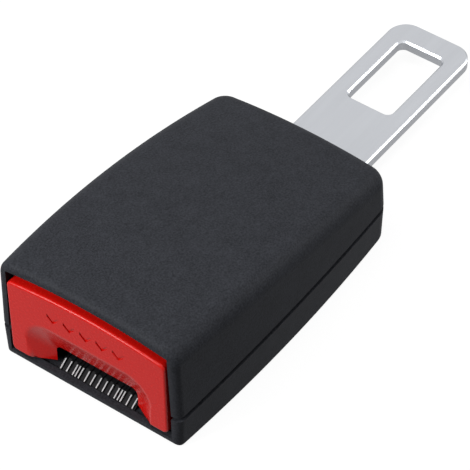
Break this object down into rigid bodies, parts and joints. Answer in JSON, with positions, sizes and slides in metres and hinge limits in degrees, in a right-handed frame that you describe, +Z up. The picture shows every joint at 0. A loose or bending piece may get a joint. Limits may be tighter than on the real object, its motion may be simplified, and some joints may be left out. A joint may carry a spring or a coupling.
{
  "type": "seat belt extender",
  "caption": "Seat belt extender: black two-part buckle housing with a red push button over a ribbed slot and a plated metal tongue with a window at the rear.",
  "frame": {"origin": "middle of the housing's flat underside", "axes": "+X along the length towards the tip of the metal tongue, +Z up towards the crowned top"},
  "size_m": [0.1339, 0.0512, 0.031],
  "materials": {
    "housing_black": "fine matte grain, moulded",
    "guide_black": "moulded",
    "button_red": "glossy, moulded",
    "frame_steel": "zinc plated sheet",
    "tongue_steel": "bright satin plating",
    "rivet_steel": "plain steel",
    "spring_steel": "spring wire",
    "ejector_natural": "natural acetal"
  },
  "bodies": {
    "housing": {"upper_shell": "housing_black", "lower_shell": "housing_black", "slot_guide": "guide_black", "buckle_frame": "frame_steel", "tongue_plate": "tongue_steel", "tongue_rivets": "rivet_steel", "pivot_pin": "rivet_steel", "pin_clip": "spring_steel", "spring_bridge": "frame_steel", "button_spring_left": "spring_steel", "button_spring_right": "spring_steel", "ejector_spring": "spring_steel", "latch_spring": "spring_steel"},
    "button": {"release_button": "button_red"},
    "latch": {"latch_plate": "frame_steel"},
    "ejector": {"ejector": "ejector_natural"}
  },
  "joints": [
    {"name": "button_press", "type": "slide", "parent": "housing", "child": "button", "axis": [1, 0, 0], "range_m": [0, 0.005], "stiffness_N_per_m": 1500, "springref_m": -0.004, "deforming": ["button_spring_left", "button_spring_right"]},
    {"name": "latch_pivot", "type": "hinge", "parent": "housing", "child": "latch", "pos_m": [0.0225, 0, 0.011], "axis": [0, 1, 0], "range_deg": [0, 7.4], "stiffness_Nm_per_rad": 0.5, "springref_deg": -5.73, "deforming": ["latch_spring"]},
    {"name": "ejector_slide", "type": "slide", "parent": "housing", "child": "ejector", "axis": [1, 0, 0], "range_m": [0, 0.012], "stiffness_N_per_m": 400, "springref_m": -0.004, "deforming": ["ejector_spring"]}
  ],
  "couplings": [
    {"joint": "latch_pivot", "follows": "button_press", "rad_per_m": 25.83}
  ]
}
